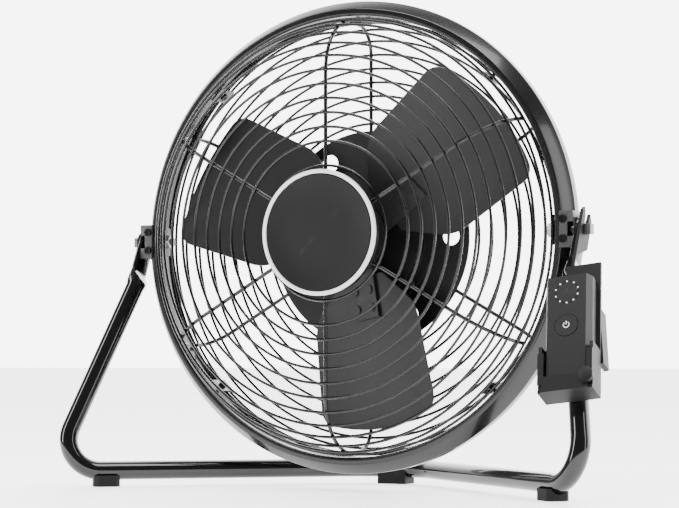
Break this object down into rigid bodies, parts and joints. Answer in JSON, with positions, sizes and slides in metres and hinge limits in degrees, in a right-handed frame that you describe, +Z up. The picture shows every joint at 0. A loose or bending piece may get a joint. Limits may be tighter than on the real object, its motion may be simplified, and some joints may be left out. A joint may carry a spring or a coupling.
{
  "type": "round floor fan",
  "caption": "Round high-velocity floor fan: wire-guarded drum that tilts in a bent-tube stand, spinning paddle blades, and a slide-out controller with a sprung button in a holster.",
  "frame": {"origin": "on the floor, under the middle of the footprint; the tilt axis is above it, parallel to X", "axes": "+Z up, the fan blows towards -Y, and the controller is on the +X side"},
  "size_m": [0.4392, 0.1732, 0.373],
  "materials": {
    "gloss_black_tube": "gloss powder coat",
    "rubber": "matte rubber",
    "black_steel": "satin gloss powder coat",
    "wire": "gloss powder coat on wire",
    "charcoal_plastic": "fine textured plastic",
    "pale_trim": "bright trim",
    "motor_paint": "satin powder coat",
    "lamination_steel": "bare laminations",
    "copper_winding": "enamelled copper wire",
    "circuit_board": "green board",
    "bright_steel": "zinc plated",
    "blade_steel": "matte powder coat",
    "grey_bracket": "light grey coat",
    "dark_screw": "black oxide",
    "lamp_lens": "clear light pipe",
    "battery_cell": "sleeved cell"
  },
  "bodies": {
    "stand": {"stand_tube": "gloss_black_tube", "foot_left": "rubber", "foot_right": "rubber", "foot_rear": "rubber", "controller_holster": "charcoal_plastic", "holster_clamp": "charcoal_plastic", "holster_screws": "bright_steel"},
    "drum": {"drum_ring": "black_steel", "front_grille": "wire", "rear_grille": "wire", "grille_clips": "black_steel", "grille_clip_screws": "dark_screw", "cap_shell": "charcoal_plastic", "cap_trim_ring": "pale_trim", "cap_backing": "charcoal_plastic", "cap_screw": "bright_steel", "motor_plate": "black_steel", "motor_front_shell": "motor_paint", "motor_rear_shell": "motor_paint", "stator_core": "lamination_steel", "stator_coils": "copper_winding", "motor_driver_board": "circuit_board", "front_bearing": "bright_steel", "rear_bearing": "bright_steel", "motor_screws": "bright_steel", "cord_gland": "charcoal_plastic", "bracket_left": "grey_bracket", "bracket_right": "grey_bracket", "bracket_screws": "dark_screw", "tilt_bolt_left": "bright_steel", "tilt_bolt_right": "bright_steel", "bolt_backing_left": "black_steel", "bolt_backing_right": "black_steel", "bolt_nut_left": "bright_steel", "bolt_nut_right": "bright_steel", "spacer_washer_left": "charcoal_plastic"},
    "rotor": {"motor_shaft": "bright_steel", "rotor_core": "lamination_steel", "blade_hub": "blade_steel", "blade_1": "blade_steel", "blade_2": "blade_steel", "blade_3": "blade_steel", "blade_rivets": "bright_steel", "hub_washer": "bright_steel", "hub_nut": "bright_steel"},
    "controller": {"controller_front": "charcoal_plastic", "controller_back": "charcoal_plastic", "controller_board": "circuit_board", "indicator_lights": "lamp_lens", "controller_battery": "battery_cell", "controller_screws": "bright_steel", "socket_cover": "charcoal_plastic"},
    "button": {"speed_button": "charcoal_plastic"}
  },
  "joints": [
    {"name": "drum_tilt", "type": "hinge", "parent": "stand", "child": "drum", "pos_m": [0, -0.00301, 0.192], "axis": [-1, 0, 0], "range_deg": [-30, 90]},
    {"name": "rotor_spin", "type": "hinge", "parent": "drum", "child": "rotor", "pos_m": [0, -0.00301, 0.192], "axis": [0, -1, 0], "continuous": true},
    {"name": "controller_slide", "type": "slide", "parent": "stand", "child": "controller", "axis": [-0.1357, 0.4218, 0.8965], "range_m": [0, 0.018]},
    {"name": "button_press", "type": "slide", "parent": "controller", "child": "button", "axis": [0, 0.9048, -0.4258], "range_m": [0, 0.0012], "stiffness_N_per_m": 500}
  ]
}
